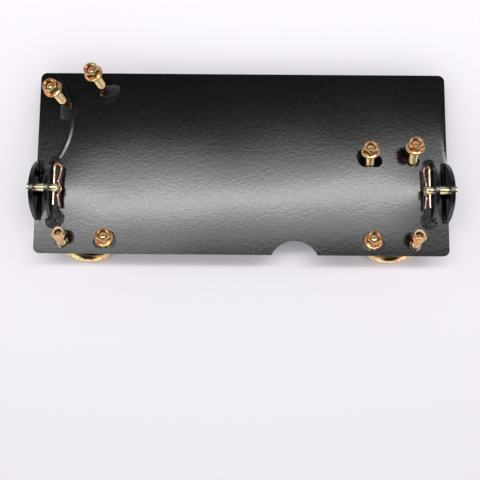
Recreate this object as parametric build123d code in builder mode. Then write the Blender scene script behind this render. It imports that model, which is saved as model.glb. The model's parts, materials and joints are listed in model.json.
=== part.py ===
from build123d import *
import os
from math import cos, radians, sin, sqrt

# Bolt-on blade mount for an ATV: a flat mounting plate with a clevis welded on at each end,
# hung from the vehicle's frame tubes by four U-bolts. Millimetres, +X along the plate,
# +Y across it, +Z out of its clevis side. The origin is the middle of the plate's underside,
# which is the face that meets the frame tubes.

# Plate
plate_length = 387.0
plate_width = 174.0
plate_thickness = 3.2
plate_corner_radius = 6.0
plate_edge_round = 0.4
notch_radius = 24.0
notch_x = 49.7
notch_depth = 13.5
hole_diameter = 11.8
slot_length = 22.0

# U-bolt hole pairs: the middle of each pair and how far apart the legs stand
leg_spacing = 40.0
right_pair_x = 142.5
left_pair_x = -147.0
lower_pair_y = -76.2
upper_right_pair = (141.7, 2.7)
upper_left_pair = (-151.3, 64.0)
upper_left_yaw = 20.0
# Where each upper left slot's middle lies from its leg, and how far the slot is turned
upper_left_outer_slot = (1.1, -5.2, 90.0)
upper_left_inner_slot = (4.5, -0.5, 5.0)

# Clevises
ear_base = 57.0
ear_height = 19.5
ear_thickness = 4.0
ear_edge_round = 0.5
clevis_gap = 10.0
clevis_y = -27.6
pin_height = 12.0
pin_diameter = 7.94
pin_hole_clearance = 0.08
pin_length = 25.0
pin_tip_chamfer = 0.8
pin_head_diameter = 10.8
pin_head_thickness = 2.6
pin_head_round = 0.5
outer_weld_leg = 2.4
inner_weld_leg = 6.0
inner_weld_height = 4.6
inner_weld_slope = 28.0
weld_end_overrun = 4.0
weld_corner_radius = 3.0

# Hairpins
hairpin_wire = 2.1
hairpin_hole_clearance = 0.07
hairpin_ear_gap = 2.0
hairpin_leg_past_pin = 16.0
hairpin_loop_reach = 24.0
hairpin_loop_width = 8.6
hairpin_waist = 4.3
hairpin_waist_reach = 6.4
hairpin_hump = 2.1
hairpin_tip_flare = 2.2
hairpin_loop_roundness = 0.45
hairpin_bend_radii = [3.0, 3.2, 3.0]
left_hairpin_lean = 34.0
right_hairpin_lean = 20.0

# U-bolts
rod_diameter = 7.0
thread_diameter = 7.8
thread_length = 27.0
leg_length = 28.5
leg_tip_chamfer = 0.8

# The four bends stand on one plane, which slopes up towards +Y under the plate
stand_height = 24.0
stand_slope = 6.0

# How each U-bolt leans: towards +Y about its leg line, and sideways in its own plane. The leg
# line lies at this height, so that a leaning leg clears its hole and the frame under the plate.
lean_axis_height = 0.6
lower_left_lean = (23.5, 3.0)
lower_right_lean = (22.0, -4.5)
upper_right_lean = (25.0, -9.0)
upper_left_lean = (13.0, -3.5)

# Nuts
thread_clearance = 0.05
hex_across_flats = 12.7
flange_nut_height = 8.5
flange_diameter = 17.0
flange_edge = 1.2
flange_slope_height = 1.6
flange_top_inset = 0.6
flange_nut_past_tip = 1.3
nut_countersink = 0.9
nut_corner_chamfer = 1.2
nut_face_inset = 0.2
lock_nut_height = 9.6
lock_nut_hex_height = 6.6
lock_nut_collar_diameter = 11.6
lock_nut_past_tip = 3.6
lock_nut_edge_chamfer = 1.0
lock_nut_mouth_diameter = 8.7
insert_height = 2.0
insert_outer_diameter = 9.8
insert_bore = 7.3
insert_lip = 0.5

plate_top = plate_thickness
pin_z = plate_top + pin_height
pin_radius = pin_diameter / 2
bend_radius = leg_spacing / 2
pin_hole_radius = pin_radius + pin_hole_clearance
nut_bore_radius = thread_diameter / 2 + thread_clearance
ear_arc_radius = (ear_height**2 + (ear_base / 2) ** 2) / (2 * ear_height)
outer_ear_face = plate_length / 2
inner_ear_face = outer_ear_face - 2 * ear_thickness - clevis_gap
hairpin_x = inner_ear_face - hairpin_ear_gap - hairpin_wire / 2
notch_centre_y = -plate_width / 2 - notch_radius + notch_depth
radius_tolerance = 0.01

os.makedirs("parts", exist_ok=True)


def save(piece, name):
    piece.part.label = name
    export_step(piece.part, f"parts/{name}.step")


def upper_left_slot(leg_side, slot):
    """Middle and turn of an upper left slot, placed from the leg that it holds."""
    x, y, turn = slot
    reach = leg_side * bend_radius
    leg_x = upper_left_pair[0] + reach * cos(radians(upper_left_yaw))
    leg_y = upper_left_pair[1] + reach * sin(radians(upper_left_yaw))
    return leg_x + x, leg_y + y, turn


def make_plate():
    left_x = left_pair_x - bend_radius
    left_slot_x = left_pair_x + bend_radius
    right_x = right_pair_x + bend_radius
    right_slot_x = right_pair_x - bend_radius
    upper_x, upper_y = upper_right_pair
    holes = [(left_x, lower_pair_y), (right_x, lower_pair_y), (upper_x + bend_radius, upper_y)]
    slots = [
        (left_slot_x, lower_pair_y, 0.0),
        (right_slot_x, lower_pair_y, 0.0),
        (upper_x - bend_radius, upper_y, 0.0),
        upper_left_slot(-1, upper_left_outer_slot),
        upper_left_slot(1, upper_left_inner_slot),
    ]
    with BuildPart() as mount_plate:
        with BuildSketch():
            RectangleRounded(plate_length, plate_width, plate_corner_radius)
            with Locations((notch_x, notch_centre_y)):
                Circle(notch_radius, mode=Mode.SUBTRACT)
        extrude(amount=plate_thickness)
        rims = mount_plate.faces().sort_by(Axis.Z)
        fillet(rims[0].edges() + rims[-1].edges(), plate_edge_round)
        with BuildSketch():
            with Locations(*holes):
                Circle(hole_diameter / 2)
            for x, y, turn in slots:
                with Locations((x, y)):
                    SlotOverall(slot_length, hole_diameter, rotation=turn)
        extrude(amount=plate_thickness, mode=Mode.SUBTRACT)
    save(mount_plate, "mount_plate")


def make_ear(side, outer):
    """One half-round ear, its flat side on the plate and its pin hole along X."""
    face = outer_ear_face if outer else inner_ear_face + ear_thickness
    ear_plane = Plane(origin=(side * face, clevis_y, plate_top), x_dir=(0, -side, 0), z_dir=(-side, 0, 0))
    with BuildPart() as ear:
        with BuildSketch(ear_plane):
            with BuildLine():
                rim = ThreePointArc((-ear_base / 2, 0), (0, ear_height), (ear_base / 2, 0))
                Line(rim @ 1, rim @ 0)
            make_face()
            with Locations((0, pin_height)):
                Circle(pin_hole_radius, mode=Mode.SUBTRACT)
        extrude(amount=ear_thickness)
        rim_edges = ear.edges().filter_by(GeomType.CIRCLE)
        fillet(rim_edges.filter_by(lambda e: abs(e.radius - ear_arc_radius) < radius_tolerance), ear_edge_round)
    return ear


def make_inner_weld(side, ear):
    """The fillet of weld along the inner ear's inboard face, round both ends of the ear."""
    width = ear_thickness + inner_weld_leg
    middle = side * (inner_ear_face + ear_thickness - width / 2)
    length = ear_base + 2 * weld_end_overrun
    with BuildPart() as weld:
        with BuildSketch(Plane.XY.offset(plate_top)):
            with Locations((middle, clevis_y)):
                RectangleRounded(width, length, weld_corner_radius)
        extrude(amount=inner_weld_height, taper=inner_weld_slope)
        with Locations((side * (inner_ear_face + ear_thickness / 2), clevis_y, plate_top)):
            base = (Align.CENTER, Align.CENTER, Align.MIN)
            Box(ear_thickness, ear_base - 2 * weld_corner_radius, ear_height, align=base, mode=Mode.SUBTRACT)
        add(ear.part, mode=Mode.SUBTRACT)
    return weld


def make_outer_weld(side):
    """The smaller fillet along the outer ear, on the clevis gap's side."""
    face = side * (outer_ear_face - ear_thickness)
    start = clevis_y - ear_base / 2
    with BuildPart() as weld:
        with BuildSketch(Plane(origin=(face, start, plate_top), x_dir=(-side, 0, 0), z_dir=(0, 1, 0))):
            with BuildLine():
                Polyline((0, 0), (outer_weld_leg, 0), (0, side * outer_weld_leg), (0, 0))
            make_face()
        extrude(amount=ear_base)
    return weld


def make_clevis_pin(side):
    """Headed pin, its head against the outer ear, cross-drilled for the hairpin."""
    pin_plane = Plane(origin=(side * outer_ear_face, clevis_y, pin_z), x_dir=(0, 1, 0), z_dir=(-side, 0, 0))
    with BuildPart(pin_plane) as pin:
        Cylinder(pin_radius, pin_length, align=(Align.CENTER, Align.CENTER, Align.MIN))
        tip = pin.edges().filter_by(GeomType.CIRCLE).sort_by(Axis.X)[0 if side > 0 else -1]
        chamfer(tip, pin_tip_chamfer)
        with BuildSketch(pin_plane):
            Circle(pin_head_diameter / 2)
        head = extrude(amount=-pin_head_thickness)
        fillet(head.edges().filter_by(GeomType.CIRCLE).sort_by(Axis.X)[-1 if side > 0 else 0], pin_head_round)
        cross_hole = Plane(origin=(side * hairpin_x, clevis_y, pin_z), x_dir=(1, 0, 0), z_dir=(0, 1, 0))
        with BuildSketch(cross_hole):
            Circle(hairpin_wire / 2 + hairpin_hole_clearance)
        extrude(amount=pin_diameter, both=True, mode=Mode.SUBTRACT)
    return pin


def make_hairpin(side, lean):
    """Sprung wire clip: the straight leg goes through the pin and the other hugs it from below."""
    towards_curved_leg = Vector(-side * sin(radians(lean)), 0, -cos(radians(lean)))
    along = Vector(0, 1, 0)
    wire_plane = Plane(
        origin=(side * hairpin_x, clevis_y, pin_z), x_dir=along, z_dir=along.cross(towards_curved_leg)
    )
    clear = (pin_radius + hairpin_wire / 2) / cos(radians(lean)) + hairpin_hump
    corners = [
        (-hairpin_leg_past_pin, 0),
        (hairpin_loop_reach - hairpin_wire / 2, 0),
        (hairpin_loop_reach - hairpin_wire / 2, hairpin_loop_width),
        (hairpin_waist_reach, hairpin_waist),
        (0, clear),
        (-hairpin_waist_reach, hairpin_waist),
        (-hairpin_leg_past_pin, hairpin_waist + hairpin_tip_flare),
    ]
    loop_radius = hairpin_loop_width * hairpin_loop_roundness
    with BuildPart() as hairpin:
        with BuildLine(wire_plane) as wire:
            FilletPolyline(*corners, radius=[loop_radius, loop_radius] + hairpin_bend_radii)
        with BuildSketch(Plane(origin=wire.line @ 0, z_dir=wire.line % 0)):
            Circle(hairpin_wire / 2)
        sweep(path=wire.wires()[0])
    return hairpin


def u_bolt_frame(middle, yaw, lean, tilt):
    """The plane of one U-bolt: origin at the bend's centre, X along its leg line, Y up its legs.

    The bend's lowest point touches the standing plane, which fixes how far the legs pass
    through the plate.
    """
    turn = radians(yaw)
    leg_line = Vector(cos(turn), sin(turn), 0)
    lean_way = Vector(-sin(turn), cos(turn), 0)
    up = Vector(0, 0, cos(radians(lean))) + lean_way * sin(radians(lean))
    legs = up * cos(radians(tilt)) + leg_line * sin(radians(tilt))
    across = leg_line * cos(radians(tilt)) - up * sin(radians(tilt))
    floor_normal = Vector(0, -sin(radians(stand_slope)), cos(radians(stand_slope)))
    hinge = Vector(middle[0], middle[1], lean_axis_height)
    height = hinge.dot(floor_normal) + stand_height * cos(radians(stand_slope))
    spread = sqrt(across.dot(floor_normal) ** 2 + legs.dot(floor_normal) ** 2)
    drop = (height - rod_diameter / 2 - bend_radius * spread) / legs.dot(floor_normal)
    origin = hinge - legs * drop
    frame = Plane(origin=origin, x_dir=across, z_dir=across.cross(legs))
    return frame, hinge, leg_line, legs, leg_length - drop


def leg_plane(frame, legs, leg_side, height):
    """A plane square to one leg, at a height above the bend's centre."""
    origin = frame.origin + frame.x_dir * (leg_side * bend_radius) + legs * height
    return Plane(origin=origin, x_dir=frame.x_dir, z_dir=legs)


def make_u_bolt(frame, legs):
    with BuildPart() as u_bolt:
        with BuildLine(frame) as rod:
            Line((-bend_radius, leg_length - thread_length / 2), (-bend_radius, 0))
            ThreePointArc((-bend_radius, 0), (0, -bend_radius), (bend_radius, 0))
            Line((bend_radius, 0), (bend_radius, leg_length - thread_length / 2))
        with BuildSketch(leg_plane(frame, legs, -1, leg_length - thread_length / 2)):
            Circle(rod_diameter / 2)
        sweep(path=rod.wires()[0])
        for leg_side in (-1, 1):
            with BuildSketch(leg_plane(frame, legs, leg_side, leg_length - thread_length)):
                Circle(thread_diameter / 2)
            leg = extrude(amount=thread_length)
            tip = leg.edges().filter_by(GeomType.CIRCLE).sort_by(Axis(frame.origin, legs))[-1]
            chamfer(tip, leg_tip_chamfer)
    return u_bolt


def nut_profile_plane(seat):
    """A plane through the nut's axis, its Y along that axis."""
    return Plane(origin=seat.origin, x_dir=seat.x_dir, z_dir=seat.x_dir.cross(seat.z_dir))


def make_hexagon(seat, hex_height, chamfer_height):
    """Solid hexagon with its upper corners turned off."""
    corner_radius = hex_across_flats / sqrt(3)
    face_radius = hex_across_flats / 2 - nut_face_inset
    with BuildPart() as hexagon:
        with BuildSketch(seat):
            RegularPolygon(hex_across_flats / 2, 6, major_radius=False)
        extrude(amount=hex_height)
        with BuildSketch(nut_profile_plane(seat)):
            with BuildLine():
                Polyline(
                    (0, 0),
                    (corner_radius, 0),
                    (corner_radius, hex_height - chamfer_height),
                    (face_radius, hex_height),
                    (0, hex_height),
                    (0, 0),
                )
            make_face()
        revolve(axis=Axis(seat.origin, seat.z_dir), mode=Mode.INTERSECT)
    return hexagon


def make_flange_nut(seat):
    countersunk = nut_bore_radius + nut_countersink
    profile = nut_profile_plane(seat)
    hexagon = make_hexagon(seat, flange_nut_height, nut_corner_chamfer)
    with BuildPart() as nut:
        add(hexagon.part)
        with BuildSketch(profile):
            with BuildLine():
                Polyline(
                    (0, 0),
                    (flange_diameter / 2, 0),
                    (flange_diameter / 2, flange_edge),
                    (hex_across_flats / 2 - flange_top_inset, flange_edge + flange_slope_height),
                    (0, flange_edge + flange_slope_height),
                    (0, 0),
                )
            make_face()
        revolve(axis=Axis(seat.origin, seat.z_dir))
        with BuildSketch(profile):
            with BuildLine():
                Polyline(
                    (0, 0),
                    (nut_bore_radius, 0),
                    (nut_bore_radius, flange_nut_height - nut_countersink),
                    (countersunk, flange_nut_height),
                    (0, flange_nut_height),
                    (0, 0),
                )
            make_face()
        revolve(axis=Axis(seat.origin, seat.z_dir), mode=Mode.SUBTRACT)
    return nut


def make_lock_nut(seat):
    """Hexagon with a round collar that is closed in over the insert."""
    insert_top = lock_nut_height - insert_lip
    insert_bottom = insert_top - insert_height
    profile = nut_profile_plane(seat)
    hexagon = make_hexagon(seat, lock_nut_hex_height, nut_corner_chamfer)
    with BuildPart() as nut:
        add(hexagon.part)
        with BuildSketch(profile):
            with BuildLine():
                Polyline(
                    (0, lock_nut_hex_height),
                    (lock_nut_collar_diameter / 2, lock_nut_hex_height),
                    (lock_nut_collar_diameter / 2, lock_nut_height - lock_nut_edge_chamfer),
                    (lock_nut_collar_diameter / 2 - lock_nut_edge_chamfer, lock_nut_height),
                    (0, lock_nut_height),
                    (0, lock_nut_hex_height),
                )
            make_face()
        revolve(axis=Axis(seat.origin, seat.z_dir))
        with BuildSketch(profile):
            with BuildLine():
                Polyline(
                    (0, 0),
                    (nut_bore_radius, 0),
                    (nut_bore_radius, insert_bottom),
                    (insert_outer_diameter / 2, insert_bottom),
                    (insert_outer_diameter / 2, insert_top),
                    (lock_nut_mouth_diameter / 2, insert_top),
                    (lock_nut_mouth_diameter / 2, lock_nut_height),
                    (0, lock_nut_height),
                    (0, 0),
                )
            make_face()
        revolve(axis=Axis(seat.origin, seat.z_dir), mode=Mode.SUBTRACT)
    with BuildPart() as insert:
        with BuildSketch(seat.offset(insert_bottom)):
            Circle(insert_outer_diameter / 2)
            Circle(insert_bore / 2, mode=Mode.SUBTRACT)
        extrude(amount=insert_height)
    return nut, insert


make_plate()

for side, name in ((-1, "left"), (1, "right")):
    outer_ear = make_ear(side, True)
    inner_ear = make_ear(side, False)
    save(outer_ear, f"{name}_outer_ear")
    save(inner_ear, f"{name}_inner_ear")
    save(make_outer_weld(side), f"{name}_outer_ear_weld")
    save(make_inner_weld(side, inner_ear), f"{name}_inner_ear_weld")
    save(make_clevis_pin(side), f"{name}_clevis_pin")
    save(make_hairpin(side, left_hairpin_lean if side < 0 else right_hairpin_lean), f"{name}_hairpin")

u_bolts = {
    "lower_left": ((left_pair_x, lower_pair_y), 0.0, lower_left_lean, -1),
    "lower_right": ((right_pair_x, lower_pair_y), 0.0, lower_right_lean, 1),
    "upper_right": (upper_right_pair, 0.0, upper_right_lean, 0),
    "upper_left": (upper_left_pair, upper_left_yaw, upper_left_lean, 0),
}
for name, (middle, yaw, (lean, tilt), lock_side) in u_bolts.items():
    frame, hinge, leg_line, legs, past_plate = u_bolt_frame(middle, yaw, lean, tilt)
    save(make_u_bolt(frame, legs), f"{name}_u_bolt")
    print(name, "hinge", hinge, "leg line", leg_line, "legs", legs, "past plate", round(past_plate, 2))
    for leg_side in (-1, 1):
        spot = "outer" if leg_side * middle[0] > 0 else "inner"
        is_lock = leg_side == lock_side
        top = leg_length + (lock_nut_past_tip if is_lock else flange_nut_past_tip)
        height = lock_nut_height if is_lock else flange_nut_height
        seat = leg_plane(frame, legs, leg_side, top - height)
        if is_lock:
            nut, insert = make_lock_nut(seat)
            save(nut, f"{name}_lock_nut")
            save(insert, f"{name}_lock_nut_insert")
        else:
            save(make_flange_nut(seat), f"{name}_{spot}_flange_nut")
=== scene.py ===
import json
import math
import bmesh
import bpy
import numpy as np
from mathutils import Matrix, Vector

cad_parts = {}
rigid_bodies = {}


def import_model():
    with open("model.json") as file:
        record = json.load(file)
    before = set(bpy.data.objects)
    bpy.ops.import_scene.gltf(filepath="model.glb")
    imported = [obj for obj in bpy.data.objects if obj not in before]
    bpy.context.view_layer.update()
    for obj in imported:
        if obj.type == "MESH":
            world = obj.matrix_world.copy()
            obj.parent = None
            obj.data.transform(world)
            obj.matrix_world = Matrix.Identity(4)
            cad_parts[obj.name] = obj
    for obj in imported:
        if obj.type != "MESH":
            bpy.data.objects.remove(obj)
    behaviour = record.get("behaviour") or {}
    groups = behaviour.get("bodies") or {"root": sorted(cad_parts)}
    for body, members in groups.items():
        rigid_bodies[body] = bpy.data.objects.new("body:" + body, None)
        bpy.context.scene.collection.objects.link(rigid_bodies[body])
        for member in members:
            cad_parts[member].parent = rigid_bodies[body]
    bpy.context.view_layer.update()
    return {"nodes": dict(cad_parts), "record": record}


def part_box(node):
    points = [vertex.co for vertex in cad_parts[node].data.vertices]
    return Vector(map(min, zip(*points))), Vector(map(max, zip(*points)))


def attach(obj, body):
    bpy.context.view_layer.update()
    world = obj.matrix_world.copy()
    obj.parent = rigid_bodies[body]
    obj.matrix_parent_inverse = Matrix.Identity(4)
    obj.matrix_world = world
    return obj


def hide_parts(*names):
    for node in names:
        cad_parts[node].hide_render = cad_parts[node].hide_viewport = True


# ATV blade mount: powder-coated plate and clevises, yellow zinc U-bolts, nuts, pins and hairpins.
# Sizes in the dictionaries are millimetres unless they say otherwise.

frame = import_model()
print("frame loaded:", len(frame["nodes"]), "nodes")

mm = 0.001
joints = {joint["child"]: joint for joint in frame["record"]["behaviour"]["joints"]}


def hexToLinear(code):
    # sRGB hex to linear RGBA
    parts = [int(code[i:i + 2], 16) / 255 for i in (1, 3, 5)]
    linear = [c / 12.92 if c <= 0.04045 else ((c + 0.055) / 1.055) ** 2.4 for c in parts]
    return (*linear, 1.0)


def unit(vector):
    vector = np.asarray(vector, dtype=float)
    return vector / np.linalg.norm(vector)


def addNode(tree, kind, settings=None, links=None, stops=()):
    # one node, its settings (attribute or socket name to value), what feeds its sockets and, for a
    # colour ramp, its stops: each is a position and a hex colour or a grey value
    node = tree.nodes.new(kind)
    for key, value in (settings or {}).items():
        if isinstance(key, str) and hasattr(node, key):
            setattr(node, key, value)
        else:
            node.inputs[key].default_value = value
    for key, source in (links or {}).items():
        tree.links.new(source, node.inputs[key])
    if stops:
        elements = node.color_ramp.elements
        elements.remove(elements[-1])
    for index, (position, colour) in enumerate(stops):
        element = elements.new(position) if index else elements[0]
        element.position = position
        isHex = isinstance(colour, str)
        element.color = hexToLinear(colour) if isHex else (colour, colour, colour, 1.0)
    return node


def newMaterial(name):
    material = bpy.data.materials.new(name)
    material.use_nodes = True
    tree = material.node_tree
    tree.nodes.clear()
    return material, tree


def gridObject(name, points, wrapAround=True, wrapAlong=False, sharpAngle=32.0):
    # points is (rows along, columns around, 3) in metres; rows and columns may close on themselves
    rows, columns = points.shape[:2]
    rowIndex = np.arange(rows if wrapAlong else rows - 1)
    columnIndex = np.arange(columns if wrapAround else columns - 1)
    r, c = np.meshgrid(rowIndex, columnIndex, indexing="ij")
    rNext, cNext = (r + 1) % rows, (c + 1) % columns
    corners = [r * columns + c, r * columns + cNext, rNext * columns + cNext, rNext * columns + c]
    quads = np.stack(corners, -1).reshape(-1, 4)
    mesh = bpy.data.meshes.new(name)
    mesh.vertices.add(rows * columns)
    mesh.vertices.foreach_set("co", points.reshape(-1).astype(np.float32))
    mesh.loops.add(quads.size)
    mesh.loops.foreach_set("vertex_index", quads.reshape(-1).astype(np.int32))
    mesh.polygons.add(len(quads))
    mesh.polygons.foreach_set("loop_start", (np.arange(len(quads)) * 4).astype(np.int32))
    mesh.update(calc_edges=True)
    obj = bpy.data.objects.new(name, mesh)
    bpy.context.scene.collection.objects.link(obj)
    tidyMesh(mesh, sharpAngle)
    return obj


def tidyMesh(mesh, sharpAngle):
    # closes poles and seams, points the faces outwards and marks the sharp edges
    mergeWithin, shortestEdge = 1e-7, 1e-8  # metres
    work = bmesh.new()
    work.from_mesh(mesh)
    bmesh.ops.remove_doubles(work, verts=work.verts, dist=mergeWithin)
    bmesh.ops.dissolve_degenerate(work, edges=work.edges, dist=shortestEdge)
    bmesh.ops.recalc_face_normals(work, faces=work.faces)
    limit = math.radians(sharpAngle)
    for face in work.faces:
        face.smooth = True
    for edge in work.edges:
        edge.smooth = edge.calc_face_angle(0.0) < limit
    work.to_mesh(mesh)
    work.free()
    mesh.update()


def axesAbout(axis, across):
    # x and y square to an axis, x as near as it can be to across
    axis = unit(axis)
    x = unit(np.asarray(across) - np.dot(across, axis) * axis)
    return x, np.cross(axis, x), axis


def place(obj, body, material, slot, *nodes):
    # gives a new piece its material, the body it moves with and the CAD nodes it stands for
    obj.data.materials.append(material)
    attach(obj, body)
    if nodes:
        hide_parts(*nodes)
    return obj


# a crease is the x and y of its centre and its radius; roughness runs from smoothest to roughest
powderLook = {"dark": "#08080a", "light": "#101013", "ior": 1.55, "roughness": (0.12, 0.19),
              "peelSize": 2.2, "peelDepth": 0.045, "fleckSize": 0.9, "lumpSize": 2.0,
              "lumpDepth": 1.0, "warpSize": 120.0, "warpDepth": 0.9,
              "dishReach": (55.0, 50.0, 50.0), "dishDepth": 0.9,
              "creases": ((-234.0, 42.0, 72.0), (330.0, 30.0, 139.5)),
              "creaseDepth": 0.45, "creaseWidth": 4.6}


def makePowderCoat(name, warped=False, lumpy=False):
    # gloss black polyester powder coat on steel: a deep black with a soft reflection, broken by
    # orange peel; the plate also pulls out of flat a little where the clevises were welded on,
    # and over weld metal the coat follows its lumps and spatter
    look = powderLook
    smoothest, roughest = look["roughness"]
    material, tree = newMaterial(name)
    where = addNode(tree, "ShaderNodeTexCoord").outputs["Object"]
    peel = addNode(tree, "ShaderNodeTexNoise",
                   {"Scale": 1 / (look["peelSize"] * mm), "Detail": 2.0, "Roughness": 0.45},
                   {"Vector": where})
    fleck = addNode(tree, "ShaderNodeTexNoise",
                    {"Scale": 1 / (look["fleckSize"] * mm), "Detail": 3.0}, {"Vector": where})
    rough = addNode(tree, "ShaderNodeMapRange",
                    {"From Min": 0.3, "From Max": 0.75, "To Min": smoothest, "To Max": roughest},
                    {"Value": fleck.outputs["Fac"]})
    bump = addNode(tree, "ShaderNodeBump", {"Strength": 1.0, "Distance": look["peelDepth"] * mm},
                   {"Height": peel.outputs["Fac"]})
    normal = bump.outputs["Normal"]
    if warped:
        normal = addWarp(tree, where, normal)
    if lumpy:
        lump = addNode(tree, "ShaderNodeTexNoise",
                       {"Scale": 1 / (look["lumpSize"] * mm), "Detail": 3.0}, {"Vector": where})
        lumps = addNode(tree, "ShaderNodeBump",
                        {"Strength": 1.0, "Distance": look["lumpDepth"] * mm},
                        {"Height": lump.outputs["Fac"], "Normal": normal})
        normal = lumps.outputs["Normal"]
    tint = addNode(tree, "ShaderNodeValToRGB", {}, {"Fac": fleck.outputs["Fac"]},
                   [(0.3, look["dark"]), (0.8, look["light"])])
    shader = addNode(tree, "ShaderNodeBsdfPrincipled", {"IOR": look["ior"]},
                     {"Base Color": tint.outputs["Color"], "Roughness": rough.outputs["Result"],
                      "Normal": normal})
    addNode(tree, "ShaderNodeOutputMaterial", {}, {"Surface": shader.outputs["BSDF"]})
    return material


def addWarp(tree, where, normal):
    # long shallow waves all over, a dish round each clevis weld and a curved crease beyond it,
    # where the height is a narrow ridge at a set distance from a centre outside the plate
    look = powderLook
    wave = addNode(tree, "ShaderNodeTexNoise",
                   {"Scale": 1 / (look["warpSize"] * mm), "Detail": 1.0}, {"Vector": where})
    waves = addNode(tree, "ShaderNodeBump", {"Strength": 1.0, "Distance": look["warpDepth"] * mm},
                    {"Height": wave.outputs["Fac"], "Normal": normal})
    normal = waves.outputs["Normal"]
    for side in ("left", "right"):
        low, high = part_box(f"{side}_inner_ear")
        centre = (Vector(low) + Vector(high)) / 2
        reach = [size * mm for size in look["dishReach"]]
        mapping = addNode(tree, "ShaderNodeMapping",
                          {"vector_type": "TEXTURE", "Location": (centre.x, centre.y, 0.0),
                           "Scale": reach}, {"Vector": where})
        ball = addNode(tree, "ShaderNodeTexGradient", {"gradient_type": "QUADRATIC_SPHERE"},
                       {"Vector": mapping.outputs["Vector"]})
        dish = addNode(tree, "ShaderNodeBump",
                       {"Strength": 1.0, "Distance": look["dishDepth"] * mm},
                       {"Height": ball.outputs["Fac"], "Normal": normal})
        normal = dish.outputs["Normal"]
    for crease in look["creases"]:
        x, y, radius = [size * mm for size in crease]
        # the ball fades from 1 at its centre to 0 at twice the radius, so the ridge is at 0.5
        mapping = addNode(tree, "ShaderNodeMapping",
                          {"vector_type": "TEXTURE", "Location": (x, y, 0.0),
                           "Scale": (radius * 2,) * 3}, {"Vector": where})
        ball = addNode(tree, "ShaderNodeTexGradient", {"gradient_type": "SPHERICAL"},
                       {"Vector": mapping.outputs["Vector"]})
        width = look["creaseWidth"] * mm / (4 * radius)
        ridge = addNode(tree, "ShaderNodeValToRGB", {}, {"Fac": ball.outputs["Fac"]},
                        [(0.5 - width, 0.0), (0.5, 1.0), (0.5 + width, 0.0)])
        fold = addNode(tree, "ShaderNodeBump",
                       {"Strength": 1.0, "Distance": look["creaseDepth"] * mm},
                       {"Height": ridge.outputs["Color"], "Normal": normal})
        normal = fold.outputs["Normal"]
    return normal


# each finish lists its film's colours in the order of filmStops, across a patch
zincLook = {"patchSize": 5.0, "grainSize": 1.4, "grainDepth": 0.02, "roughness": (0.17, 0.33),
            # the amber recess colour is painted shade, laid over the film where occlusion is high
            "paintedShadeInRecess": "#c4641c", "recessPaintedShadeDistance": 3.0,
            "filmStops": (0.32, 0.41, 0.47, 0.53, 0.59, 0.68),
            "nut": ["#c77a3e", "#dc9058", "#e2b880", "#b6bc74", "#dca49c", "#d08040"],
            "rod": ["#d8989a", "#e0b070", "#e8d6a4", "#b4bf74", "#e6cfa0", "#dc9a98"],
            "pin": ["#c6cc94", "#e6e0b4", "#d8d298", "#efe4cc", "#c2c888", "#e6c6b4"],
            "clip": ["#e09a74", "#f0d8c2", "#e6ae84", "#f0ccc2", "#d89c50", "#e6968c"]}


def makeYellowZinc(kind):
    # steel plated with zinc and passivated in yellow chromate: a metal whose thin film shifts
    # between straw, olive green and rose from patch to patch; in recesses the colour is painted
    # amber, a painted shade for the light that bounces about inside them
    look = zincLook
    smoothest, roughest = look["roughness"]
    material, tree = newMaterial(f"yellowZincChromate{kind.title()}")
    where = addNode(tree, "ShaderNodeTexCoord").outputs["Object"]
    patch = addNode(tree, "ShaderNodeTexNoise",
                    {"Scale": 1 / (look["patchSize"] * mm), "Detail": 2.5, "Distortion": 0.8},
                    {"Vector": where})
    film = addNode(tree, "ShaderNodeValToRGB", {}, {"Fac": patch.outputs["Fac"]},
                   list(zip(look["filmStops"], look[kind])))
    # painted shade: occlusion within a few millimetres mixes the film colour towards the amber
    exposed = addNode(tree, "ShaderNodeAmbientOcclusion",
                      {"samples": 8, "Distance": look["recessPaintedShadeDistance"] * mm})
    depth = addNode(tree, "ShaderNodeValToRGB", {}, {"Fac": exposed.outputs["AO"]},
                    [(0.25, 1.0), (0.7, 0.0)])
    # a colour mix takes its factor at socket 0 and its colours at 6 and 7, and gives output 2
    filmWithPaintedShade = addNode(tree, "ShaderNodeMix", {"data_type": "RGBA", 7: hexToLinear(look["paintedShadeInRecess"])},
                    {0: depth.outputs["Color"], 6: film.outputs["Color"]})
    grain = addNode(tree, "ShaderNodeTexNoise",
                    {"Scale": 1 / (look["grainSize"] * mm), "Detail": 3.0}, {"Vector": where})
    rough = addNode(tree, "ShaderNodeMapRange",
                    {"From Min": 0.3, "From Max": 0.7, "To Min": smoothest, "To Max": roughest},
                    {"Value": grain.outputs["Fac"]})
    bump = addNode(tree, "ShaderNodeBump",
                   {"Strength": 0.6, "Distance": look["grainDepth"] * mm},
                   {"Height": grain.outputs["Fac"]})
    shader = addNode(tree, "ShaderNodeBsdfPrincipled", {"Metallic": 1.0},
                     {"Base Color": filmWithPaintedShade.outputs[2], "Roughness": rough.outputs["Result"],
                      "Normal": bump.outputs["Normal"]})
    addNode(tree, "ShaderNodeOutputMaterial", {}, {"Surface": shader.outputs["BSDF"]})
    return material


nylonLook = {"dark": "#e6e1d2", "light": "#f2efe6", "cloudSize": 2.0, "roughness": 0.42,
             "ior": 1.53, "translucency": 0.3, "translucencyDepth": 1.0}


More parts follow.
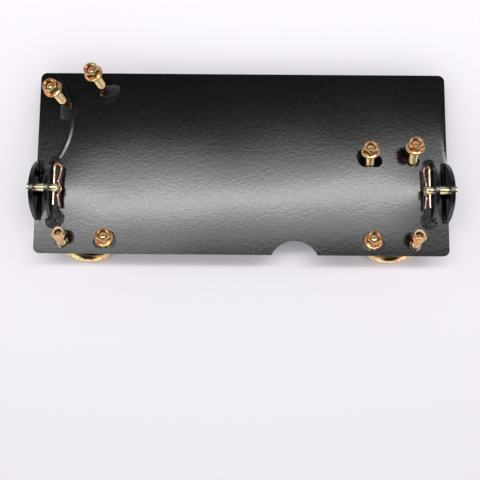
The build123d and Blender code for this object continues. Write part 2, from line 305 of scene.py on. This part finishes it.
def makeNylon():
    # natural nylon 6 ring, moulded: off-white, waxy and slightly see-through
    look = nylonLook
    material, tree = newMaterial("naturalNylon")
    where = addNode(tree, "ShaderNodeTexCoord").outputs["Object"]
    cloud = addNode(tree, "ShaderNodeTexNoise",
                    {"Scale": 1 / (look["cloudSize"] * mm), "Detail": 2.0}, {"Vector": where})
    tint = addNode(tree, "ShaderNodeValToRGB", {}, {"Fac": cloud.outputs["Fac"]},
                   [(0.3, look["dark"]), (0.7, look["light"])])
    shader = addNode(tree, "ShaderNodeBsdfPrincipled",
                     {"Roughness": look["roughness"], "IOR": look["ior"],
                      "Subsurface Weight": look["translucency"],
                      "Subsurface Scale": look["translucencyDepth"] * mm},
                     {"Base Color": tint.outputs["Color"]})
    addNode(tree, "ShaderNodeOutputMaterial", {}, {"Surface": shader.outputs["BSDF"]})
    return material


plateCoat = makePowderCoat("glossBlackPowderCoatPlate", warped=True)
steelCoat = makePowderCoat("glossBlackPowderCoat")
weldCoat = makePowderCoat("glossBlackPowderCoatWeld", lumpy=True)
zinc = {kind: makeYellowZinc(kind) for kind in ("nut", "rod", "pin", "clip")}
nylon = makeNylon()
print("materials made")


def coatNode(node, material):
    mesh = frame["nodes"][node].data
    mesh.materials.clear()
    mesh.materials.append(material)


# the CAD pieces that keep their shape
coatNode("mount_plate", plateCoat)
for side in ("left", "right"):
    for piece in ("outer_ear", "inner_ear"):
        coatNode(f"{side}_{piece}", steelCoat)
    coatNode(f"{side}_outer_ear_weld", weldCoat)
    coatNode(f"{side}_clevis_pin", zinc["pin"])
    coatNode(f"{side}_hairpin", zinc["clip"])


# flankGain steepens the thread's triangle wave and crestFlat lowers it, which leaves flat
# roots and crests
uBoltSizes = {"rod": 7.0, "thread": 7.8, "threadDepth": 0.62, "pitch": 1.41, "flankGain": 1.25,
              "crestFlat": 0.1, "threadLength": 27.0, "runOut": 1.5, "legLength": 28.5,
              "tipChamfer": 0.8, "around": 28, "stepsPerPitch": 8, "bendSteps": 40}


def boltLegs(name):
    # the two nuts of a U-bolt, and the tips and direction of the legs that they turn on
    nuts = [child for child, joint in joints.items() if joint["parent"] == f"{name}_u_bolt"]
    tips = [np.array(joints[nut]["pos_m"], dtype=float) for nut in nuts]
    return nuts, tips, unit(joints[nuts[0]]["axis"])


def makeUBolt(name):
    # a round rod carried along leg, half circle and leg; on the legs its radius follows a rolled
    # thread, a triangle wave of the distance along the leg less one pitch for each turn round it
    sizes = uBoltSizes
    tips, legAxis = boltLegs(name)[1:]
    across = unit(tips[1] - tips[0])
    bend = np.linalg.norm(tips[1] - tips[0]) / 2
    leg, pitch = sizes["legLength"] * mm, sizes["pitch"] * mm
    centre = (tips[0] + tips[1]) / 2 - legAxis * leg
    down = np.arange(0, leg, pitch / sizes["stepsPerPitch"])
    turn = np.linspace(0, math.pi, sizes["bendSteps"])
    straight = np.ones(len(down))
    pathX = np.concatenate([-bend * straight, -bend * np.cos(turn), bend * straight])
    pathY = np.concatenate([leg - down, -bend * np.sin(turn), (leg - down)[::-1]])
    tangentX = np.concatenate([0 * straight, np.sin(turn), 0 * straight])
    tangentY = np.concatenate([-straight, -np.cos(turn), straight])
    fromTip = np.concatenate([down, np.full(len(turn), leg * 2), down[::-1]])
    angle = np.linspace(0, 2 * math.pi, sizes["around"], endpoint=False)
    phase = fromTip[:, None] / pitch - angle[None, :] / (2 * math.pi)
    ridge = np.abs((phase % 1.0) * 2 - 1)
    cut = np.clip(ridge * sizes["flankGain"] - sizes["crestFlat"], 0, 1)
    crest, rodRadius = sizes["thread"] / 2 * mm, sizes["rod"] / 2 * mm
    threadRadius = crest - sizes["threadDepth"] * mm * cut
    toThreadEnd = sizes["threadLength"] * mm - fromTip
    threaded = np.clip(toThreadEnd / (sizes["runOut"] * mm), 0, 1)[:, None]
    radius = rodRadius + (threadRadius - rodRadius) * threaded
    radius = np.minimum(radius, crest - sizes["tipChamfer"] * mm + fromTip[:, None])
    outward = -tangentY[:, None] * across + tangentX[:, None] * legAxis
    normal = np.cross(across, legAxis)
    centreLine = centre + pathX[:, None] * across + pathY[:, None] * legAxis
    ring = np.cos(angle)[None, :, None] * outward[:, None, :]
    ring = ring + np.sin(angle)[None, :, None] * normal
    points = centreLine[:, None, :] + ring * radius[:, :, None]
    ends = [np.repeat(centreLine[i][None, None, :], len(angle), axis=1) for i in (0, -1)]
    points = np.concatenate([ends[0], points, ends[1]], axis=0)
    obj = gridObject(f"{name}_u_bolt_rod", points, sharpAngle=50)
    return place(obj, f"{name}_u_bolt", zinc["rod"], "yellow_zinc", f"{name}_u_bolt")


# bore is a radius; the turns are degrees, for a U-bolt's first nut and from it to the second
nutSizes = {"acrossFlats": 12.7, "bore": 3.95, "threadCut": 0.3, "pitch": 1.41, "boreStep": 0.2,
            "boreFade": 0.3, "cornerRound": 0.22, "around": 96, "firstTurn": 17, "nextTurn": 23}
# pairs are (height, distance inside the rim)
flangeNutSizes = {"height": 8.5, "flange": 17.0, "flangeEdge": 1.2, "flangeSlope": 1.6,
                  "rimUnder": ((0.0, 0.7), (0.12, 0.25), (0.35, 0.0)),
                  "rimOver": ((-0.2, 0.0), (0.08, 0.22)), "coneInset": 0.3, "coneTopInset": 1.2,
                  "coneGap": 0.4, "pastTip": 1.3, "chamfer": 1.2, "chamferInset": 0.25,
                  "crownGap": 0.02, "crownInset": 0.45, "countersink": 0.9,
                  "mouthRound": (0.1, 0.12), "boreFrom": 0.3}
# pairs are (height or depth, distance outside the collar or the bore)
lockNutSizes = {"height": 9.6, "hexHeight": 6.6, "collar": 11.6, "pastTip": 3.6, "chamfer": 1.2,
                "chamferInset": 0.2, "footMouth": 0.5, "footInset": 0.35, "footGap": 0.05,
                "shoulder": ((0.15, 0.2), (0.5, 0.0)), "collarRound": 1.0,
                "insertHeight": 2.0, "insertOuter": 9.8, "insertBore": 7.3, "insertGap": 0.02,
                "insertTop": ((0.0, 0.25), (0.15, 0.05), (0.4, 0.0)),
                "insertFoot": ((0.3, 0.0), (0.1, 0.1)), "insertEdge": 0.25,
                "lip": 0.5, "lipReach": 0.75, "lipRound": (0.12, 0.25),
                "boreEase": 0.2, "boreFrom": 0.4}

nutAngles = np.linspace(0, 2 * math.pi, nutSizes["around"], endpoint=False)
nutFlat = nutSizes["acrossFlats"] / 2
nutCorner = nutFlat / math.cos(math.pi / 6)
# a hexagon's radius at each angle: half its width over the cosine of the angle from the middle
# of the nearest side, with the corners eased
fromSide = nutAngles % (math.pi / 3) - math.pi / 6
hexagon = np.minimum(nutFlat / np.cos(fromSide), nutCorner - nutSizes["cornerRound"])


def chamferedHexagon(fromEnd, sizes):
    # the smaller of the hexagon and a cone that opens from inside its sides to its corners
    start = nutFlat - sizes["chamferInset"]
    cone = start + (nutCorner - start) * min(1.0, fromEnd / sizes["chamfer"])
    return np.minimum(hexagon, cone)


def turnedPoints(rows, origin, axes):
    # rows are (height, radius for each angle) in mm; each becomes a ring about the axis
    x, y, z = axes
    heights = np.array([row[0] for row in rows]) * mm
    radii = np.array([np.broadcast_to(row[1], nutAngles.shape) for row in rows]) * mm
    ring = np.cos(nutAngles)[:, None] * x + np.sin(nutAngles)[:, None] * y
    return origin + heights[:, None, None] * z + radii[:, :, None] * ring[None]


def boreRows(top, bottom):
    # a tapped hole from top down to bottom: a triangle groove cut outwards along a helix
    rows = []
    for height in np.linspace(top, bottom, max(4, int((top - bottom) / nutSizes["boreStep"]))):
        phase = (height / nutSizes["pitch"] - nutAngles / (2 * math.pi)) % 1.0
        fade = np.clip(min(top - height, height - bottom) / nutSizes["boreFade"], 0, 1)
        groove = nutSizes["threadCut"] * fade * (1 - np.abs(phase * 2 - 1))
        rows.append((height, nutSizes["bore"] + groove))
    return rows


def makeFlangeNut(nut, tip, axes):
    # hexagon over a conical flange: at each height the radius is the larger of cone and hexagon,
    # and near the top the smaller of hexagon and chamfer cone
    sizes = flangeNutSizes
    top, edge, rim = sizes["height"], sizes["flangeEdge"], sizes["flange"] / 2
    slopeTop = edge + sizes["flangeSlope"]
    coneFoot, coneTop = rim - sizes["coneInset"], nutFlat - sizes["coneTopInset"]
    mouth = nutSizes["bore"] + sizes["countersink"]
    mouthDepth, mouthSpread = sizes["mouthRound"]
    rows = [(0.0, nutSizes["bore"])]
    rows += [(height, rim - inset) for height, inset in sizes["rimUnder"]]
    rows += [(edge + height, rim - inset) for height, inset in sizes["rimOver"]]
    for share in np.linspace(0.08, 1.0, 9):
        cone = coneFoot + (coneTop - coneFoot) * share
        rows.append((edge + sizes["flangeSlope"] * share, np.maximum(cone, hexagon)))
    for height in np.linspace(slopeTop + sizes["coneGap"], top - sizes["crownGap"], 14):
        rows.append((height, chamferedHexagon(top - height, sizes)))
    rows += [(top, nutFlat - sizes["crownInset"]), (top, mouth + mouthSpread),
             (top - mouthDepth, mouth)]
    rows += boreRows(top - sizes["countersink"], sizes["boreFrom"])
    origin = tip + axes[2] * (sizes["pastTip"] - top) * mm
    obj = gridObject(f"{nut}_body", turnedPoints(rows, origin, axes), wrapAlong=True,
                     sharpAngle=28)
    return place(obj, nut, zinc["nut"], "yellow_zinc", nut)


def makeLockNut(nut, tip, axes):
    # hexagon below, round collar above, its lip rolled in over a nylon ring
    sizes = lockNutSizes
    top, shoulder, collar = sizes["height"], sizes["hexHeight"], sizes["collar"] / 2
    insertTop = top - sizes["lip"]
    insertBottom = insertTop - sizes["insertHeight"]
    outer, inner = sizes["insertOuter"] / 2, sizes["insertBore"] / 2
    lipEdge, (lipDepth, lipSpread) = inner + sizes["lipReach"], sizes["lipRound"]
    rows = [(0.0, nutSizes["bore"] + sizes["footMouth"]), (0.0, nutFlat - sizes["footInset"])]
    for height in np.linspace(sizes["footGap"], shoulder, 16):
        rows.append((height, chamferedHexagon(min(height, shoulder - height), sizes)))
    rows += [(shoulder + height, collar + extra) for height, extra in sizes["shoulder"]]
    rounding = sizes["collarRound"]
    rows += [(top + rounding * (math.sin(angle) - 1), collar + rounding * (math.cos(angle) - 1))
             for angle in np.linspace(0, math.pi / 2, 7)]
    rows += [(top, lipEdge + lipSpread), (top - lipDepth, lipEdge), (insertTop, lipEdge),
             (insertTop, outer), (insertBottom, outer),
             (insertBottom, nutSizes["bore"] + sizes["boreEase"])]
    rows += boreRows(insertBottom - sizes["boreEase"], sizes["boreFrom"])
    origin = tip + axes[2] * (sizes["pastTip"] - top) * mm
    obj = gridObject(f"{nut}_body", turnedPoints(rows, origin, axes), wrapAlong=True,
                     sharpAngle=28)
    place(obj, nut, zinc["nut"], "yellow_zinc", nut)
    outer = outer - sizes["insertGap"]
    low, high = insertBottom + sizes["insertGap"], insertTop - sizes["insertGap"]
    ringRows = [(low, inner + sizes["insertEdge"]), (low, outer), (high, outer)]
    ringRows += [(high - depth, inner + extra) for depth, extra in sizes["insertTop"]]
    ringRows += [(low + depth, inner + extra) for depth, extra in sizes["insertFoot"]]
    insert = gridObject(f"{nut}_insert_ring", turnedPoints(ringRows, origin, axes), wrapAlong=True)
    place(insert, nut, nylon, "white_nylon", f"{nut}_insert")


for name in ("lower_left", "lower_right", "upper_right", "upper_left"):
    makeUBolt(name)
    nuts, tips, legAxis = boltLegs(name)
    for index, (nut, tip) in enumerate(zip(nuts, tips)):
        turned = math.radians(nutSizes["firstTurn"] + nutSizes["nextTurn"] * index)
        x, y, z = axesAbout(legAxis, tips[1] - tips[0])
        axes = axesAbout(legAxis, x * math.cos(turned) + y * math.sin(turned))
        makeNut = makeLockNut if "lock" in nut else makeFlangeNut
        makeNut(nut, tip, axes)
print("U-bolts and nuts made")


# an end value is the share of the bead's size left at its two ends, hollow and endPower are
# powers, lipAt is the share of the way to the toe, and endRun is a share of the round end
weldSizes = {"width": 5.2, "height": 3.6, "ripple": 1.9, "rippleDepth": 0.25, "lump": 0.5,
             "widthPeriod": 24.0, "heightPeriod": 30.0, "leftFoot": 4.6, "rightFoot": 3.0,
             "footStart": 18.0, "footRun": 6.0, "hollow": 1.5, "lip": 0.8, "lipAt": 0.85,
             "chip": 0.35, "chipPeriods": (0.68, 0.47), "sink": 0.35, "endRun": 0.9,
             "endPower": 0.7, "endWidth": 0.25, "endHeight": 0.2, "endLip": 0.3, "steps": 220}


def smoothNoise(places, seed, period):
    # a sum of three sines with seeded phases, from -1 to 1
    random = np.random.default_rng(seed)
    total = sum(np.sin(2 * math.pi * places / (period / k) + random.uniform(0, 6.28)) / k
                for k in (1, 2.3, 3.7))
    return total / 1.7


def makeInnerWeld(side, seed):
    # a fillet bead carried round the inner ear's foot, along its inboard face and round both ends;
    # the section falls away from the ear as a power of the distance left to the toe, where the
    # metal stands up in a small half-round lip; its width and height wander, with a ripple along it
    sizes = weldSizes
    sign = -1 if side == "left" else 1
    low, high = [np.array(corner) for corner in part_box(f"{side}_inner_ear")]
    middle = (low + high) / 2
    half = (high[0] - low[0]) / 2
    yLow, yHigh = low[1] + half, high[1] - half
    length, arc = yHigh - yLow, math.pi * half
    total = arc + length + arc
    s = np.linspace(0, total, sizes["steps"])
    inFirst, inLast = s < arc, s > arc + length
    # the angle runs from the gap side round an end to the inboard face
    angle = np.where(inFirst, s / half, np.where(inLast, (s - arc - length) / half, 0))
    outX = sign * np.where(inFirst, np.cos(angle), np.where(inLast, -np.cos(angle), -1.0))
    outY = np.where(inFirst, -np.sin(angle), np.where(inLast, np.sin(angle), 0.0))
    x = half * outX
    y = half * outY + np.where(inFirst, yLow, np.where(inLast, yHigh, yLow + s - arc))
    ends = np.clip(np.minimum(s, total - s) / (arc * sizes["endRun"]), 0, 1) ** sizes["endPower"]
    widthLeft, heightLeft, lipLeft = [
        sizes[end] + (1 - sizes[end]) * ends for end in ("endWidth", "endHeight", "endLip")]
    # past the hairpin's reach the bead may be wider
    pastClip = (middle[1] - sizes["footStart"] * mm - y) / (sizes["footRun"] * mm)
    foot = sizes[f"{side}Foot"] * np.clip(pastClip, 0, 1)
    ripple = sizes["rippleDepth"] * np.abs(np.sin(math.pi * s / (sizes["ripple"] * mm)))
    widthWander = sizes["lump"] * smoothNoise(s, seed, sizes["widthPeriod"] * mm)
    heightWander = 0.5 * sizes["lump"] * smoothNoise(s, seed + 7, sizes["heightPeriod"] * mm)
    width = (sizes["width"] + foot + widthWander + ripple) * mm * widthLeft
    height = (sizes["height"] + heightWander + ripple) * mm * heightLeft
    sink = sizes["sink"] * mm
    # the section: from inside the ear, out over the bead to its toe, with closer points at the
    # lip, and down into the plate
    u = np.concatenate([np.linspace(0, 0.68, 9), np.linspace(0.71, 1.0, 11)])
    fromLip = (u - sizes["lipAt"]) / (1 - sizes["lipAt"])
    lip = sizes["lip"] * mm * np.sqrt(np.clip(1 - fromLip ** 2, 0, 1))
    outward = np.concatenate([[-sink], u, [1.0]])
    fall = np.concatenate([[1.0], (1 - u) ** sizes["hollow"], [0.0]])
    lip = np.concatenate([[0.0], lip, [0.0]])
    reach = np.where(outward < 0, outward, outward * width[:, None])
    longWave, shortWave = [s[:, None] / (period * mm) for period in sizes["chipPeriods"]]
    chips = np.sin(longWave + 3 * outward) * np.sin(shortWave + 5 * outward)
    chips = sizes["chip"] * mm * chips * 4 * np.clip(outward * (1 - outward), 0, 1)
    rise = fall * height[:, None] + lip * lipLeft[:, None] + chips
    rise[:, -1] = -sink
    inside = x - outX * sink, y - outY * sink, np.full(len(s), -sink)
    bead = x[:, None] + outX[:, None] * reach, y[:, None] + outY[:, None] * reach, rise
    corner = np.array([middle[0], 0.0, low[2]])
    points = np.concatenate([np.stack(bead, -1), np.stack(inside, -1)[:, None, :]], 1) + corner
    caps = [np.repeat(points[i].mean(0)[None, None, :], points.shape[1], axis=1) for i in (0, -1)]
    points = np.concatenate([caps[0], points, caps[1]], axis=0)
    obj = gridObject(f"{side}_inner_weld_bead", points, sharpAngle=60)
    return place(obj, "mount", weldCoat, "black_powder_coat", f"{side}_inner_ear_weld")


makeInnerWeld("left", 3)
makeInnerWeld("right", 11)
print("welds made")


# light sizes and places are metres and angles degrees; where a wall or the ceiling begins and
# ends is a part of a direction of length 1
studio = {"floorColour": "#f4f1f6", "floorSlope": 6.0, "floorDrop": 24.0, "floorReach": 4000.0,
          # painted shade on the floor: its dark colour, how far the occlusion looks, and where it
          # is full
          "floorPaintedShadeColour": "#2a2a2c", "floorPaintedShadeDistance": 60.0, "floorPaintedShadeFullAt": 0.3, "openSky": 0.6,
          "coreSize": (1.7, 0.085), "coreAt": (0.0, 0.205, 1.28), "coreRadiance": 11.5,
          "wideSize": (1.8, 0.33), "wideAt": (0.0, 0.195, 1.30), "wideRadiance": 3.4,
          "stripTurn": 3.5, "wallColour": "#f1eff2", "wallStrength": 1.75, "wallTop": 0.5,
          "ceilingStrength": 0.06, "ceilingFrom": 0.8, "backWallShare": 0.4,
          "backWallFrom": 0.1, "backWallFull": 0.55}


def makeFloor():
    # a plain sheet that all four bends stand on; it slopes because the plate does not lie level,
    # and its colour is painted dark as shade where the plate covers most of the sky over it
    slope = math.tan(math.radians(studio["floorSlope"]))
    reach = studio["floorReach"] * mm
    grid = np.linspace(-reach, reach, 3)
    x, y = np.meshgrid(grid, grid, indexing="ij")
    z = -studio["floorDrop"] * mm + slope * y
    floor = gridObject("floor", np.stack([x, y, z], -1), wrapAround=False)
    material, tree = newMaterial("paleFloorWithPaintedShade")
    # painted shade: the floor colour turns dark where the plate hides most of the sky within reach
    sky = addNode(tree, "ShaderNodeAmbientOcclusion",
                  {"samples": 16, "Distance": studio["floorPaintedShadeDistance"] * mm})
    tint = addNode(tree, "ShaderNodeValToRGB", {}, {"Fac": sky.outputs["AO"]},
                   [(studio["floorPaintedShadeFullAt"], studio["floorPaintedShadeColour"]),
                    (studio["openSky"], studio["floorColour"])])
    shader = addNode(tree, "ShaderNodeBsdfPrincipled",
                     {"Roughness": 0.6, "Specular IOR Level": 0.2},
                     {"Base Color": tint.outputs["Color"]})
    addNode(tree, "ShaderNodeOutputMaterial", {}, {"Surface": shader.outputs["BSDF"]})
    floor.data.materials.append(material)


def makePanelLight(name, size, at, radiance):
    light = bpy.data.lights.new(name, "AREA")
    light.shape = "RECTANGLE"
    light.size, light.size_y = size
    light.energy = radiance * math.pi * size[0] * size[1]
    lamp = bpy.data.objects.new(name, light)
    lamp.location = at
    lamp.rotation_euler.z = math.radians(studio["stripTurn"])
    bpy.context.scene.collection.objects.link(lamp)


def makeWorld():
    # pale walls round the table under a dark ceiling, dimmer on the side away from the notch
    world = bpy.data.worlds.new("studio")
    bpy.context.scene.world = world
    world.use_nodes = True
    tree = world.node_tree
    tree.nodes.clear()
    direction = addNode(tree, "ShaderNodeTexCoord").outputs["Generated"]
    split = addNode(tree, "ShaderNodeSeparateXYZ", {}, {"Vector": direction})
    share = addNode(tree, "ShaderNodeValToRGB", {}, {"Fac": split.outputs["Y"]},
                    [(studio["backWallFrom"], 1.0),
                     (studio["backWallFull"], studio["backWallShare"])])
    upward = addNode(tree, "ShaderNodeValToRGB", {}, {"Fac": split.outputs["Z"]},
                     [(0.0, studio["wallStrength"]), (studio["wallTop"], studio["wallStrength"]),
                      (studio["ceilingFrom"], studio["ceilingStrength"])])
    strength = addNode(tree, "ShaderNodeMath", {"operation": "MULTIPLY"},
                       {0: upward.outputs["Color"], 1: share.outputs["Color"]})
    back = addNode(tree, "ShaderNodeBackground", {"Color": hexToLinear(studio["wallColour"])},
                   {"Strength": strength.outputs["Value"]})
    addNode(tree, "ShaderNodeOutputWorld", {}, {"Surface": back.outputs["Background"]})


# where the camera stands in metres, and how it is turned in degrees
cameraView = {"sensor": 36.0, "lens": 40.63, "at": (0.0009, -0.1259, 0.5043),
              "turn": (6.0, 0.17, 0.5)}


def makeCamera():
    camera = bpy.data.cameras.new("camera")
    camera.sensor_width = cameraView["sensor"]
    camera.lens = cameraView["lens"]
    obj = bpy.data.objects.new("camera", camera)
    obj.location = cameraView["at"]
    obj.rotation_euler = [math.radians(angle) for angle in cameraView["turn"]]
    bpy.context.scene.collection.objects.link(obj)
    bpy.context.scene.camera = obj


makeFloor()
makePanelLight("stripSoftboxCore", studio["coreSize"], studio["coreAt"], studio["coreRadiance"])
makePanelLight("stripSoftboxWide", studio["wideSize"], studio["wideAt"], studio["wideRadiance"])
makeWorld()
makeCamera()
bpy.context.scene.view_settings.view_transform = "Standard"
print("stage, lights and camera made")
